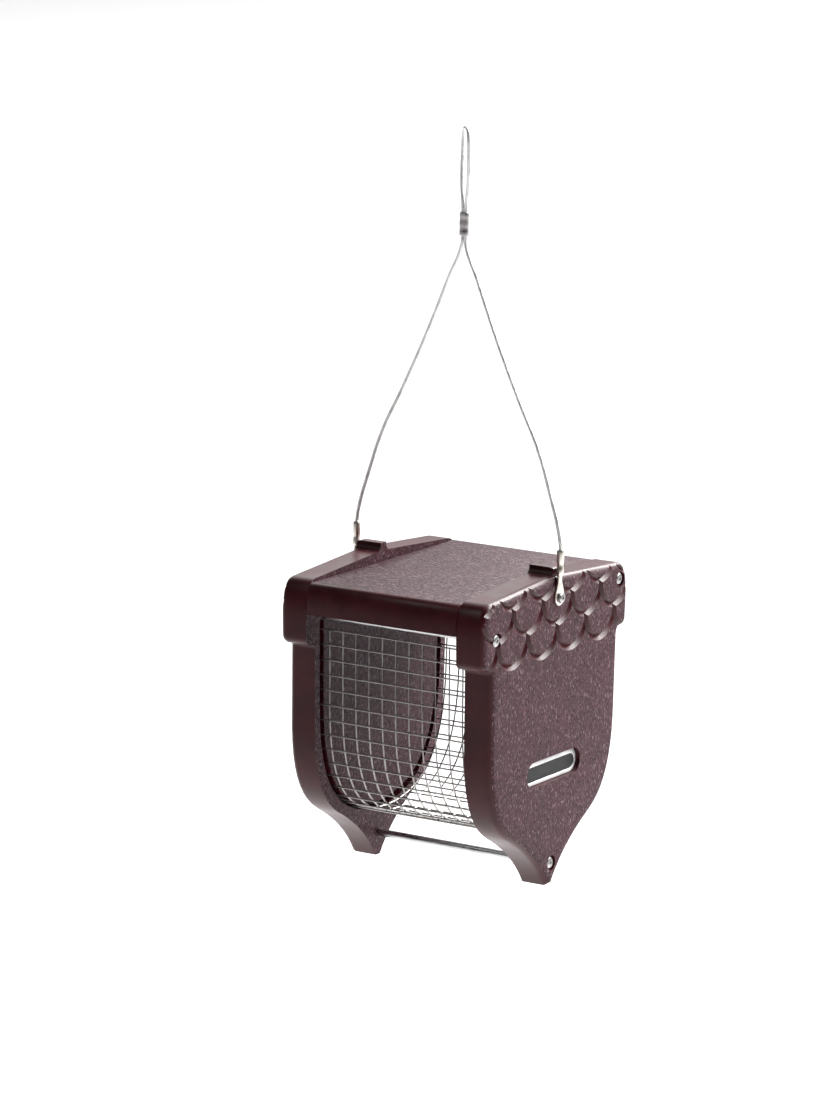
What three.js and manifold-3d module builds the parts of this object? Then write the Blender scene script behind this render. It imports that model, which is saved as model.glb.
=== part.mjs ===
// Hanging bird feeder: two acorn-shaped side boards, a lid board hinged between them at the back,
// a U of welded wire mesh held in grooves, two tie rods and a coated cable to hang it by.
// Millimetres, +Z up, -Y is the front, +X is the side that carries the name plate.
// The feeder is drawn with Z = 0 at its feet, and the whole group is then lowered so that
// the origin lies where the hanging loop rests on its hook.

import * as THREE from 'three';
import { mergeVertices } from 'three/addons/utils/BufferGeometryUtils.js';
import Module from 'manifold-3d';

const wasm = await Module();
wasm.setup();
const { Manifold } = wasm;

// ---- driving dimensions ----------------------------------------------------------------------

const GAP = 0.3;                    // left between pieces that touch
const BOARD = 19;                   // thickness of every board
const INNER_HALF = 53.5;            // half of the space between the side boards
const OUTER_X = INNER_HALF + BOARD; // plane of a side board's outer face
const EDGE_BREAK = 2.2;             // rounding of a side board's outer edges

const TIP_HALF = 2.5;               // half width of the flat foot
const FLARE_Y = 47;                 // where the foot's hollow flare meets the round shoulder
const FLARE_Z = 37;
const SHOULDER_Y = 75.6;            // where the shoulder meets the straight side
const SHOULDER_Z = 104;
const NUT_HALF = 76.4;              // half depth of the acorn just under its cap
const CAP_HALF = 87.5;              // half depth of the cap
const CAP_Z = 149;                  // underside of the cap
const CAP_CORNER = 6;               // rounding of the cap's lower corners
const CAP_TAPER = 0.6;              // the cap's lower corners stand in by this much
const CAP_COVE = 3.4;               // hollow where the cap's underside meets the acorn's side
const GABLE_Y = 77;                 // where the gable meets the cap's rounded upper corner
const GABLE_Z = 190.2;
const RIDGE_Z = 195.3;
const CAP_CURVE_Z = 168;            // where the cap's upper rounding starts

const STEM_HALF = 3;                // the acorn's stem, on the ridge
const STEM_FLARE = 6.5;
const STEM_TOP = 200;
const STEM_ROUND = 3;
const STEM_ROOT = RIDGE_Z - 3;
const STEM_OUTER_X = OUTER_X - 1.9;
const STEM_TOOL = 10;               // half length of the tools that round the stem

const SCALE_COLUMNS = 5;            // carved scales across the cap
const SCALE_WIDTH = 2 * CAP_HALF / SCALE_COLUMNS;
const SCALE_ROWS = 3;
const SCALE_PITCH = 18;
const SCALE_LOWEST = 147.6;         // lowest point of the bottom row
const VEE_WIDTH = 3.8;
const VEE_DEPTH = 2.2;

const ROOF_BOTTOM = 169.6;
const ROOF_TOP = ROOF_BOTTOM + BOARD;
const ROOF_LENGTH = 2 * (INNER_HALF - GAP);
const ROOF_ROUND_Y = 81;
const ROOF_ROUND_Z = 174;
const ROOF_EDGE = { y: 87.2, z: ROOF_TOP }; // where the tangents of its rounded edges cross

const MESH_SHEET = 0.9;             // one wire thick: a plain sheet in the place of the wires
const MESH_HALF_WIDTH = 58.1;
const MESH_TOP_Y = 69.3;
const MESH_TOP_Z = 158.1;
const MESH_BEND_Y = 68;
const MESH_BEND_Z = 110;
const MESH_LOW_Z = 33;
const MESH_SWEEP = [[67.4, 72], [56, 34]];  // what the basket's bottom curve bends towards
const GROOVE_WIDTH = 4.4;
const GROOVE_DEPTH = 5.5;
const GROOVE_TOP = 163;

const ROD_RADIUS = 2.4;
const FRONT_ROD = { y: -70.5, z: 166.5 };
const PERCH = { y: 0, z: 14.3 };
const LID_PIVOT = { y: 77, z: 180 };
const HANG_SCREW = { y: 0, z: 181.5 };

const HEAD_RADIUS = 3.9;
const HEAD_HEIGHT = 2.4;
const COUNTERBORE_RADIUS = 4.75;
const COUNTERBORE_DEPTH = 3;
const ROD_SCREW_RADIUS = 1.5;
const ROD_SCREW_LENGTH = 26;
const LID_SCREW_RADIUS = 2.1;
const LID_SCREW_LENGTH = 31;
const HANG_SCREW_RADIUS = 2;
const HANG_SCREW_LENGTH = 14;
const HANG_HEAD_RADIUS = 3.5;
const HANG_HEAD_HEIGHT = 2.2;

const PLATE_SLOT = { length: 64, height: 16, depth: 4, z: 74.5 };
const PLATE_THICKNESS = 0.9;

const CABLE_RADIUS = 1.2;
const STRAND_OFFSET = 1.35;         // half the distance between the two strands in the sleeve
const SLEEVE_TURN = -11;            // degrees from X that the sleeve's width lies at
const SLEEVE_TOP = -50.5;           // below the hanging point
const SLEEVE_LENGTH = 14.4;
const SLEEVE_WALL = 0.6;
const HANGING_Z = 461.5;            // hanging point above the feet

const TONGUE_THICKNESS = 1;
const TONGUE_RADIUS = 5;
const NECK_HALF = 2.6;
const BARREL_RADIUS = 2.3;
const BARREL_FOOT = 0.8 * BARREL_RADIUS;
const BARREL_FLOOR = 1.6;           // solid end of the barrel, under its bore
const BARREL_BOTTOM = 195.6;
const BARREL_TOP = 211;
const BARREL_X = OUTER_X + 0.9;

// The cable's right half, below the hanging point: [distance from the middle, turn from X, height].
const LOOP_ROUTE = [
  [3.6, -41, -0.3],
  [5, -41, -4],
  [4.9, -38, -14],
  [4.1, -30, -26],
  [2.6, -20, -37],
  [STRAND_OFFSET, SLEEVE_TURN, -45.5],
  [STRAND_OFFSET, SLEEVE_TURN, -52],
  [STRAND_OFFSET, SLEEVE_TURN, -58],
  [STRAND_OFFSET, SLEEVE_TURN, -64],
  [STRAND_OFFSET, SLEEVE_TURN, -69.5],
];
const LEG_ROUTE = [
  [10.4, -92],
  [25, -127],
  [41.8, -163],
  [55.8, -191],
  [66.1, -220.5],
  [70.9, -236],
];
const CABLE_STEPS = 80;

// ---- materials -------------------------------------------------------------------------------

const coloured = (color, roughness, metalness) =>
  new THREE.MeshStandardMaterial({ color, roughness, metalness });
const boardMaterial = () => coloured(0x4a3a3d, 0.62, 0);
const roofMaterial = () => coloured(0x665b5f, 0.58, 0);
const meshMaterial = () => coloured(0xa8a29c, 0.42, 0.9);
const rodMaterial = () => coloured(0x9a9c98, 0.32, 0.95);
const screwMaterial = () => coloured(0xb9b7b0, 0.35, 0.95);
const terminalMaterial = () => coloured(0xb7ab90, 0.3, 0.95);
const cableMaterial = () => coloured(0xa9aca6, 0.35, 0.4);
const plateMaterial = () => coloured(0x2b2c2b, 0.4, 0.2);

// ---- solids ----------------------------------------------------------------------------------

// A drawing's (x, y) becomes (Y, Z), and its depth runs along +X.
const SIDEWAYS = new THREE.Matrix4().makeBasis(
  new THREE.Vector3(0, 1, 0), new THREE.Vector3(0, 0, 1), new THREE.Vector3(1, 0, 0));
// A lathe's axis becomes +X.
const LATHE_TO_X = new THREE.Matrix4().makeRotationZ(-Math.PI / 2);
// A lathe's axis becomes +Z.
const LATHE_TO_Z = new THREE.Matrix4().makeRotationX(Math.PI / 2);

function toSolid(geometry) {
  const bare = geometry.clone();
  bare.deleteAttribute('normal');
  bare.deleteAttribute('uv');
  const merged = mergeVertices(bare, 1e-4);
  return new Manifold(new wasm.Mesh({
    numProp: 3,
    vertProperties: new Float32Array(merged.attributes.position.array),
    triVerts: new Uint32Array(merged.index.array),
  }));
}

function toMesh(name, solid, material) {
  const { vertProperties, triVerts } = solid.getMesh();
  const geometry = new THREE.BufferGeometry();
  geometry.setAttribute('position', new THREE.BufferAttribute(vertProperties, 3));
  geometry.setIndex(new THREE.BufferAttribute(triVerts, 1));
  geometry.computeVertexNormals();
  const mesh = new THREE.Mesh(geometry, material);
  mesh.name = name;
  return mesh;
}

function sideways(shape, fromX, toX, curveSegments = 12) {
  const geometry = new THREE.ExtrudeGeometry(shape, {
    depth: toX - fromX, bevelEnabled: false, steps: 1, curveSegments,
  });
  geometry.applyMatrix4(SIDEWAYS);
  return toSolid(geometry).translate([fromX, 0, 0]);
}

function turned(profile, matrix, segments) {
  const points = profile.map(([radius, along]) => new THREE.Vector2(radius, along));
  const geometry = new THREE.LatheGeometry(points, segments);
  geometry.applyMatrix4(matrix);
  return toSolid(geometry);
}

function barAlongX(radius, fromX, toX, { y, z }, segments = 20) {
  const length = toX - fromX;
  const profile = [[0, 0], [radius, 0], [radius, length], [0, length]];
  return turned(profile, LATHE_TO_X, segments).translate([fromX, y, z]);
}

// side is 1 for the right board and -1 for the left one
const onSide = (solid, side) => (side > 0 ? solid : solid.mirror([1, 0, 0]));

// ---- side boards -----------------------------------------------------------------------------

function acornOutline() {
  const lowerY = CAP_HALF - CAP_TAPER;
  const upperZ = GABLE_Z - CAP_TAPER;
  const outline = new THREE.Shape();
  outline.moveTo(-TIP_HALF, 0);
  outline.lineTo(TIP_HALF, 0);
  outline.quadraticCurveTo(15.5, 20.8, FLARE_Y, FLARE_Z);
  outline.bezierCurveTo(66.5, 47.4, 76, 68, SHOULDER_Y, SHOULDER_Z);
  outline.lineTo(NUT_HALF, CAP_Z - CAP_COVE);
  outline.quadraticCurveTo(NUT_HALF, CAP_Z, NUT_HALF + CAP_COVE, CAP_Z);
  outline.lineTo(CAP_HALF - CAP_CORNER, CAP_Z);
  outline.quadraticCurveTo(lowerY, CAP_Z, lowerY, CAP_Z + CAP_CORNER);
  outline.lineTo(CAP_HALF, CAP_CURVE_Z);
  outline.quadraticCurveTo(CAP_HALF, upperZ, GABLE_Y, GABLE_Z);
  outline.lineTo(0, RIDGE_Z);
  outline.lineTo(-GABLE_Y, GABLE_Z);
  outline.quadraticCurveTo(-CAP_HALF, upperZ, -CAP_HALF, CAP_CURVE_Z);
  outline.lineTo(-lowerY, CAP_Z + CAP_CORNER);
  outline.quadraticCurveTo(-lowerY, CAP_Z, -CAP_HALF + CAP_CORNER, CAP_Z);
  outline.lineTo(-NUT_HALF - CAP_COVE, CAP_Z);
  outline.quadraticCurveTo(-NUT_HALF, CAP_Z, -NUT_HALF, CAP_Z - CAP_COVE);
  outline.lineTo(-SHOULDER_Y, SHOULDER_Z);
  outline.bezierCurveTo(-76, 68, -66.5, 47.4, -FLARE_Y, FLARE_Z);
  outline.quadraticCurveTo(-15.5, 20.8, -TIP_HALF, 0);
  return outline;
}

// The board with its outer edges rounded and its inner edges sharp.
function acornBoard() {
  const geometry = new THREE.ExtrudeGeometry(acornOutline(), {
    depth: BOARD, steps: 1, curveSegments: 10, bevelEnabled: true, bevelSegments: 2,
    bevelThickness: EDGE_BREAK, bevelSize: EDGE_BREAK, bevelOffset: -EDGE_BREAK,
  });
  geometry.applyMatrix4(SIDEWAYS);
  return toSolid(geometry)
    .translate([OUTER_X - BOARD - EDGE_BREAK, 0, 0])
    .trimByPlane([1, 0, 0], INNER_HALF);
}

function stem() {
  const flank = new THREE.Shape();
  flank.moveTo(-STEM_FLARE, STEM_ROOT);
  flank.lineTo(STEM_FLARE, STEM_ROOT);
  flank.quadraticCurveTo(STEM_HALF, RIDGE_Z - 1, STEM_HALF, STEM_TOP);
  flank.lineTo(-STEM_HALF, STEM_TOP);
  flank.quadraticCurveTo(-STEM_HALF, RIDGE_Z - 1, -STEM_FLARE, STEM_ROOT);
  const roundX = STEM_OUTER_X - STEM_ROUND;
  const roundZ = STEM_TOP - STEM_ROUND;
  const rounding = barAlongY(STEM_ROUND, roundX, roundZ);
  const inner = boxBetween([INNER_HALF, -STEM_TOOL, STEM_ROOT], [roundX, STEM_TOOL, STEM_TOP]);
  const lower = boxBetween([INNER_HALF, -STEM_TOOL, STEM_ROOT], [STEM_OUTER_X, STEM_TOOL, roundZ]);
  return sideways(flank, INNER_HALF, STEM_OUTER_X, 4).intersect(rounding.add(inner).add(lower));
}

function barAlongY(radius, x, z) {
  const geometry = new THREE.CylinderGeometry(radius, radius, 2 * STEM_TOOL, 24);
  return toSolid(geometry).translate([x, 0, z]);
}

function boxBetween(low, high) {
  return Manifold.cube(high.map((value, axis) => value - low[axis])).translate(low);
}

// One carved half ring of V section, open side outwards.
function carvedScale(y, lowest) {
  const radius = SCALE_WIDTH / 2;
  const profile = [
    [radius - VEE_WIDTH / 2, 0], [radius, -VEE_DEPTH], [radius + VEE_WIDTH / 2, 0],
    [radius + VEE_WIDTH / 2, 1], [radius - VEE_WIDTH / 2, 1], [radius - VEE_WIDTH / 2, 0],
  ];
  return turned(profile, LATHE_TO_X, 24)
    .trimByPlane([0, 0, -1], 0)
    .translate([OUTER_X, y, lowest + radius]);
}

function carvedScales() {
  const cuts = [];
  for (let row = 0; row < SCALE_ROWS; row += 1) {
    const shifted = row % 2 === 0;
    const count = shifted ? SCALE_COLUMNS + 1 : SCALE_COLUMNS;
    for (let column = 0; column < count; column += 1) {
      const y = (column - (count - 1) / 2) * SCALE_WIDTH;
      cuts.push(carvedScale(y, SCALE_LOWEST + row * SCALE_PITCH));
    }
  }
  return Manifold.union(cuts);
}

function counterbored(at, holeRadius) {
  return barAlongX(COUNTERBORE_RADIUS, OUTER_X - COUNTERBORE_DEPTH, OUTER_X + 1, at, 24)
    .add(barAlongX(holeRadius + GAP, INNER_HALF - 1, OUTER_X, at));
}

function plateOutline(inset) {
  const radius = PLATE_SLOT.height / 2 - inset;
  const reach = PLATE_SLOT.length / 2 - PLATE_SLOT.height / 2;
  const outline = new THREE.Shape();
  outline.absarc(reach, PLATE_SLOT.z, radius, -Math.PI / 2, Math.PI / 2);
  outline.absarc(-reach, PLATE_SLOT.z, radius, Math.PI / 2, 3 * Math.PI / 2);
  outline.closePath();
  return outline;
}

function sideBoard(side) {
  let board = acornBoard().add(stem());
  board = board.subtract(carvedScales());
  const grooveEnd = INNER_HALF + GROOVE_DEPTH;
  board = board.subtract(basketBand(GROOVE_WIDTH, GROOVE_TOP, INNER_HALF - 1, grooveEnd));
  board = board.subtract(counterbored(FRONT_ROD, ROD_SCREW_RADIUS));
  board = board.subtract(counterbored(PERCH, ROD_SCREW_RADIUS));
  board = board.subtract(counterbored(LID_PIVOT, LID_SCREW_RADIUS));
  const hangHoleEnd = OUTER_X - HANG_SCREW_LENGTH;
  board = board.subtract(barAlongX(HANG_SCREW_RADIUS + GAP, hangHoleEnd, OUTER_X + 1, HANG_SCREW));
  if (side > 0) {
    board = board.subtract(sideways(plateOutline(0), OUTER_X - PLATE_SLOT.depth, OUTER_X + 1));
  }
  return onSide(board, side);
}

function namePlate() {
  const backX = OUTER_X - PLATE_SLOT.depth + GAP;
  return sideways(plateOutline(GAP), backX, backX + PLATE_THICKNESS);
}

// ---- mesh basket -----------------------------------------------------------------------------

// The basket's section: down the front, round the bottom and up the back.
function basketLine(top) {
  const line = new THREE.CurvePath();
  const slope = (MESH_TOP_Y - MESH_BEND_Y) / (MESH_TOP_Z - MESH_BEND_Z);
  const rimY = MESH_TOP_Y + slope * (top - MESH_TOP_Z);
  const rim = (sign) => new THREE.Vector2(sign * rimY, top);
  const bend = (sign) => new THREE.Vector2(sign * MESH_BEND_Y, MESH_BEND_Z);
  const sweep = (sign) => MESH_SWEEP.map(([y, z]) => new THREE.Vector2(sign * y, z));
  const low = new THREE.Vector2(0, MESH_LOW_Z);
  line.add(new THREE.LineCurve(rim(-1), bend(-1)));
  line.add(new THREE.CubicBezierCurve(bend(-1), ...sweep(-1), low));
  line.add(new THREE.CubicBezierCurve(low, ...sweep(1).reverse(), bend(1)));
  line.add(new THREE.LineCurve(bend(1), rim(1)));
  return line;
}

function basketBand(width, top, fromX, toX) {
  const steps = 18;
  const outside = [];
  const inside = [];
  for (const curve of basketLine(top).curves) {
    const count = curve.isLineCurve ? 1 : steps;
    for (let i = 0; i <= count; i += 1) {
      const point = curve.getPoint(i / count);
      const tangent = curve.getTangent(i / count);
      const across = new THREE.Vector2(tangent.y, -tangent.x).multiplyScalar(width / 2);
      outside.push(point.clone().add(across));
      inside.push(point.clone().sub(across));
    }
  }
  const ring = [...outside, ...inside.reverse()];
  const kept = ring.filter((point, i) => point.distanceTo(ring[(i + 1) % ring.length]) > 0.3);
  return sideways(new THREE.Shape(kept), fromX, toX);
}

const meshBasket = () => basketBand(MESH_SHEET, MESH_TOP_Z, -MESH_HALF_WIDTH, MESH_HALF_WIDTH);

// ---- roof and rods ---------------------------------------------------------------------------

function roofBoard() {
  const section = new THREE.Shape();
  section.moveTo(-CAP_HALF, ROOF_BOTTOM);
  section.lineTo(CAP_HALF, ROOF_BOTTOM);
  section.lineTo(CAP_HALF, ROOF_ROUND_Z);
  section.quadraticCurveTo(ROOF_EDGE.y, ROOF_EDGE.z, ROOF_ROUND_Y, ROOF_TOP);
  section.lineTo(-ROOF_ROUND_Y, ROOF_TOP);
  section.quadraticCurveTo(-ROOF_EDGE.y, ROOF_EDGE.z, -CAP_HALF, ROOF_ROUND_Z);
  section.closePath();
  const board = sideways(section, -ROOF_LENGTH / 2, ROOF_LENGTH / 2, 8);
  const holeEnd = OUTER_X - COUNTERBORE_DEPTH - LID_SCREW_LENGTH - GAP;
  const hole = barAlongX(LID_SCREW_RADIUS + GAP, holeEnd, INNER_HALF, LID_PIVOT);
  return board.subtract(hole).subtract(hole.mirror([1, 0, 0]));
}

function tieRod(at) {
  const half = INNER_HALF - GAP;
  const holeEnd = OUTER_X - COUNTERBORE_DEPTH - ROD_SCREW_LENGTH - GAP;
  const hole = barAlongX(ROD_SCREW_RADIUS + GAP, holeEnd, INNER_HALF, at);
  return barAlongX(ROD_RADIUS, -half, half, at, 24).subtract(hole).subtract(hole.mirror([1, 0, 0]));
}

// ---- screws ----------------------------------------------------------------------------------

// A pan-head screw whose head rests at seatX and whose shank points inwards.
function screw(side, at, seatX, shank, head) {
  const { radius, length } = shank;
  const profile = [
    [0, -length], [radius * 0.35, -length], [radius, -length + 2 * radius], [radius, 0],
    [head.radius, 0], [head.radius, head.height * 0.45], [head.radius * 0.82, head.height * 0.85],
    [head.radius * 0.45, head.height], [0, head.height],
  ];
  return onSide(turned(profile, LATHE_TO_X, 20).translate([seatX, at.y, at.z]), side);
}

const SUNK_SEAT = OUTER_X - COUNTERBORE_DEPTH + GAP;
const SUNK_HEAD = { radius: HEAD_RADIUS, height: HEAD_HEIGHT };
const HANG_SEAT = OUTER_X + TONGUE_THICKNESS + 2 * GAP;
const HANG_SHANK = { radius: HANG_SCREW_RADIUS, length: HANG_SCREW_LENGTH };
const HANG_HEAD = { radius: HANG_HEAD_RADIUS, height: HANG_HEAD_HEIGHT };

const sunkScrew = (side, at, radius, length) =>
  screw(side, at, SUNK_SEAT, { radius, length: length - GAP }, SUNK_HEAD);
const hangScrew = (side) => screw(side, HANG_SCREW, HANG_SEAT, HANG_SHANK, HANG_HEAD);

// ---- cable, sleeve and terminals --------------------------------------------------------------

function cableCurve() {
  const around = (distance, turn, z) => {
    const angle = THREE.MathUtils.degToRad(turn);
    return new THREE.Vector3(distance * Math.cos(angle), distance * Math.sin(angle), z);
  };
  const right = LOOP_ROUTE.map(([distance, turn, z]) => around(distance, turn, z));
  right.push(...LEG_ROUTE.map(([x, z]) => new THREE.Vector3(x, 0, z)));
  for (const z of [BARREL_TOP + 1.5, BARREL_TOP - 4, BARREL_TOP - 9, BARREL_BOTTOM + 2]) {
    right.push(new THREE.Vector3(BARREL_X, 0, z - HANGING_Z));
  }
  const left = right.map(({ x, y, z }) => new THREE.Vector3(-x, -y, z)).reverse();
  const top = new THREE.Vector3(0, 0, CABLE_RADIUS);
  return new THREE.CatmullRomCurve3([...left, top, ...right]);
}

function hangerCable() {
  const section = new THREE.Shape();
  const sides = 8;
  for (let i = 0; i < sides; i += 1) {
    const angle = (i / sides) * 2 * Math.PI;
    const x = CABLE_RADIUS * Math.cos(angle);
    const y = CABLE_RADIUS * Math.sin(angle);
    if (i === 0) section.moveTo(x, y);
    else section.lineTo(x, y);
  }
  const along = { steps: CABLE_STEPS, extrudePath: cableCurve() };
  const geometry = new THREE.ExtrudeGeometry(section, along);
  return toSolid(geometry).translate([0, 0, HANGING_Z]);
}

function crimpSleeve() {
  const bore = CABLE_RADIUS + GAP;
  const bar = (radius, x, margin) => {
    const end = SLEEVE_LENGTH + margin;
    const profile = [[0, -margin], [radius, -margin], [radius, end], [0, end]];
    return turned(profile, LATHE_TO_Z, 20).translate([x, 0, 0]);
  };
  const lobes = (radius, margin) =>
    [STRAND_OFFSET, -STRAND_OFFSET].map((x) => bar(radius, x, margin));
  const body = Manifold.hull(lobes(bore + SLEEVE_WALL, 0));
  const sleeve = lobes(bore, 1).reduce((solid, hole) => solid.subtract(hole), body);
  const bottom = HANGING_Z + SLEEVE_TOP - SLEEVE_LENGTH;
  return sleeve.rotate([0, 0, SLEEVE_TURN]).translate([0, 0, bottom]);
}

function ringTerminal(side) {
  const meet = Math.asin(NECK_HALF / TONGUE_RADIUS);
  const from = Math.PI / 2 + meet;
  const to = Math.PI / 2 - meet + 2 * Math.PI;
  const tongue = new THREE.Shape();
  tongue.absarc(HANG_SCREW.y, HANG_SCREW.z, TONGUE_RADIUS, from, to);
  tongue.lineTo(BARREL_FOOT, BARREL_BOTTOM + 1);
  tongue.lineTo(-BARREL_FOOT, BARREL_BOTTOM + 1);
  const insideX = OUTER_X + GAP;
  const flat = sideways(tongue, insideX, insideX + TONGUE_THICKNESS, 20);
  const outsideX = insideX + TONGUE_THICKNESS;
  const eye = barAlongX(HANG_SCREW_RADIUS + GAP, insideX - 1, outsideX + 1, HANG_SCREW);
  const length = BARREL_TOP - BARREL_BOTTOM;
  const column = (radius, low, high) =>
    turned([[0, low], [radius, low], [radius, high], [0, high]], LATHE_TO_Z, 20)
      .translate([BARREL_X, 0, BARREL_BOTTOM]);
  const bore = column(CABLE_RADIUS + GAP, BARREL_FLOOR, length + 1);
  return onSide(flat.subtract(eye).add(column(BARREL_RADIUS, 0, length)).subtract(bore), side);
}

// ---- assembly --------------------------------------------------------------------------------

const feeder = new THREE.Group();
feeder.name = 'hanging_bird_feeder';
feeder.position.z = -HANGING_Z;

for (const [suffix, side] of [['left', -1], ['right', 1]]) {
  feeder.add(toMesh(`side_panel_${suffix}`, sideBoard(side), boardMaterial()));
  const rodScrew = (at) => sunkScrew(side, at, ROD_SCREW_RADIUS, ROD_SCREW_LENGTH);
  feeder.add(toMesh(`tie_rod_screw_${suffix}`, rodScrew(FRONT_ROD), screwMaterial()));
  feeder.add(toMesh(`perch_screw_${suffix}`, rodScrew(PERCH), screwMaterial()));
  const lidScrew = sunkScrew(side, LID_PIVOT, LID_SCREW_RADIUS, LID_SCREW_LENGTH);
  feeder.add(toMesh(`lid_pivot_screw_${suffix}`, lidScrew, screwMaterial()));
  feeder.add(toMesh(`terminal_screw_${suffix}`, hangScrew(side), screwMaterial()));
  feeder.add(toMesh(`ring_terminal_${suffix}`, ringTerminal(side), terminalMaterial()));
}
feeder.add(toMesh('roof_lid', roofBoard(), roofMaterial()));
feeder.add(toMesh('mesh_basket', meshBasket(), meshMaterial()));
feeder.add(toMesh('front_tie_rod', tieRod(FRONT_ROD), rodMaterial()));
feeder.add(toMesh('perch_rod', tieRod(PERCH), rodMaterial()));
feeder.add(toMesh('name_plate', namePlate(), plateMaterial()));
feeder.add(toMesh('crimp_sleeve', crimpSleeve(), terminalMaterial()));
feeder.add(toMesh('hanger_cable', hangerCable(), cableMaterial()));

export default feeder;
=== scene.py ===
"""Hanging bird feeder: two acorn-shaped boards, a lid, a wire mesh hopper and a coated cable."""

import math

import bmesh
import bpy
from mathutils import Matrix, Vector


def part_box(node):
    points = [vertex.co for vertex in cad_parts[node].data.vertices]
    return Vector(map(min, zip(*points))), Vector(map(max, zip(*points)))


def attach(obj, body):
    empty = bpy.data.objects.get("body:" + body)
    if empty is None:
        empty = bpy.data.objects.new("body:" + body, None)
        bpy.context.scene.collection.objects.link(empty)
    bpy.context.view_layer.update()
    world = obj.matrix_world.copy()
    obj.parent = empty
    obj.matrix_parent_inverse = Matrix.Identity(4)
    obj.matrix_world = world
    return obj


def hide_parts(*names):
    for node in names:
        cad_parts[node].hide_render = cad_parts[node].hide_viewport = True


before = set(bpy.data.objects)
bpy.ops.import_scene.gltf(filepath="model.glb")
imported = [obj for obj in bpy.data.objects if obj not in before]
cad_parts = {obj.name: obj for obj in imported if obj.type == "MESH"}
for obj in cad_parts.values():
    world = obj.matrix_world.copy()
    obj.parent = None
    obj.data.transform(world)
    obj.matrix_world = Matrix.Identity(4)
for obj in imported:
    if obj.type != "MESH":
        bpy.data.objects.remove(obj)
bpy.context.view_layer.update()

bl_info = {
    "name": "Hanging Bird Feeder",
    "version": (1, 0, 0),
    "blender": (4, 5, 0),
    "location": "3D View > Sidebar > Feeder",
    "description": "Dresses a hanging acorn bird feeder: boards, mesh, rods, screws and cable",
    "category": "Add Mesh",
}

MM = 0.001
BOARD_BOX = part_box("side_panel_right")
INNER_X = BOARD_BOX[0][0]
OUTER_X = BOARD_BOX[1][0]
FEET_Z = BOARD_BOX[0][2]
LID_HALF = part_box("roof_lid")[1][0]

# Half of the acorn's outline, as (depth, height above the feet) in millimetres. A stroke is an
# end point, or two handles and an end point. It starts and ends well over the middle line.
ACORN_START = (-22, 0)
ACORN_HALF = [
    [(2.5, 0)],
    [(11.2, 13.9), (26, 26.2), (47, 37)],
    [(66.5, 47.4), (76, 68), (75.6, 104)],
    [(76.3, 145.5)],
    [(76.35, 147.5), (77.9, 149), (79.8, 149)],
    [(81.5, 149)],
    [(84.5, 149), (86.9, 151.4), (86.9, 154.4)],
    [(87.5, 168)],
    [(87.5, 182.4), (84, 189.8), (77, 190.2)],
    [(-22, 196.76)],
    [(-22, 0)],
]
STEM_START = (-9, 186)
STEM = [
    [(9, 186)],
    [(7.5, 194.2)],
    [(4.6, 194.9), (3.1, 196.6), (3, 200)],
    [(-3, 200)],
    [(-3.1, 196.6), (-4.6, 194.9), (-7.5, 194.2)],
    [(-9, 186)],
]
MESH_START = (-69.3, 158.1)
MESH_LINE = [
    [(-68, 110)],
    [(-67.4, 72), (-56, 34), (0, 33)],
    [(56, 34), (67.4, 72), (68, 110)],
    [(69.3, 158.1)],
]
LID_SECTION_START = (-87.5, 169.6)
LID_SECTION = [
    [(87.5, 169.6)],
    [(87.5, 174)],
    [(87.3, 183.7), (85.2, 188.6), (81, 188.6)],
    [(-81, 188.6)],
    [(-85.2, 188.6), (-87.3, 183.7), (-87.5, 174)],
    [(-87.5, 169.6)],
]
SCALE_ROWS = ((147.6, 6), (165.6, 5), (183.6, 6))
FRONT_ROD = (-70.5, 166.5)
PERCH = (0, 14.3)
LID_PIVOT = (77, 180)
TERMINAL_SCREW = (0, 181.5)
PLATE_MIDDLE = (0, 74.5)

CLEAR = 0.3 * MM
STEM_TOP = 200
STEM_ROUND = 3 * MM
STEM_OUTER_X = OUTER_X - 1.9 * MM
RIM_HEIGHT = 157
RIM_LIFT = 5 * MM
COUNTERBORE_RADIUS = 4.75 * MM
COUNTERBORE_DEPTH = 3 * MM
ROD_HOLE, LID_HOLE = 1.8 * MM, 2.4 * MM
SUNK_HEAD = (3.9, 2.4)
SUNK_SEAT = 69.8 * MM
RAISED_SEAT = 74.1 * MM
# Each screw's name, (head radius, head height, shank radius, length), seat, place and body.
SCREWS = (
    ("tie_rod_screw", (*SUNK_HEAD, 1.5, 26), SUNK_SEAT, FRONT_ROD, "housing"),
    ("perch_screw", (*SUNK_HEAD, 1.5, 26), SUNK_SEAT, PERCH, "housing"),
    ("lid_pivot_screw", (*SUNK_HEAD, 2.1, 31), SUNK_SEAT, LID_PIVOT, "lid"),
    ("terminal_screw", (3.5, 2.2, 2.0, 14), RAISED_SEAT, TERMINAL_SCREW, "housing"),
)

# The cable's right half below the hanging point: (distance from the middle, turn, height), then
# its leg as (distance out, height), in millimetres and degrees. The other half is its twin.
LOOP_ROUTE = (
    (3.6, -41, -0.3), (5, -41, -4), (4.9, -38, -14), (4.1, -30, -26), (2.6, -20, -37),
    (1.35, -11, -45.5), (1.35, -11, -52), (1.35, -11, -58), (1.35, -11, -64), (1.35, -11, -69.5),
)
LEG_ROUTE = (
    (10.4, -92), (25, -127), (41.8, -163), (55.8, -191), (66.1, -220.5), (70.9, -236),
    (73.4, -249), (73.4, -254.5), (73.4, -259.5), (73.4, -263.9),
)
LOOP_TOP = 1.2 * MM
BARREL_X = LEG_ROUTE[-1][0] * MM
SLEEVE_TURN = LOOP_ROUTE[-1][1]


# ---- working in the window -------------------------------------------------------------------

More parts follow.
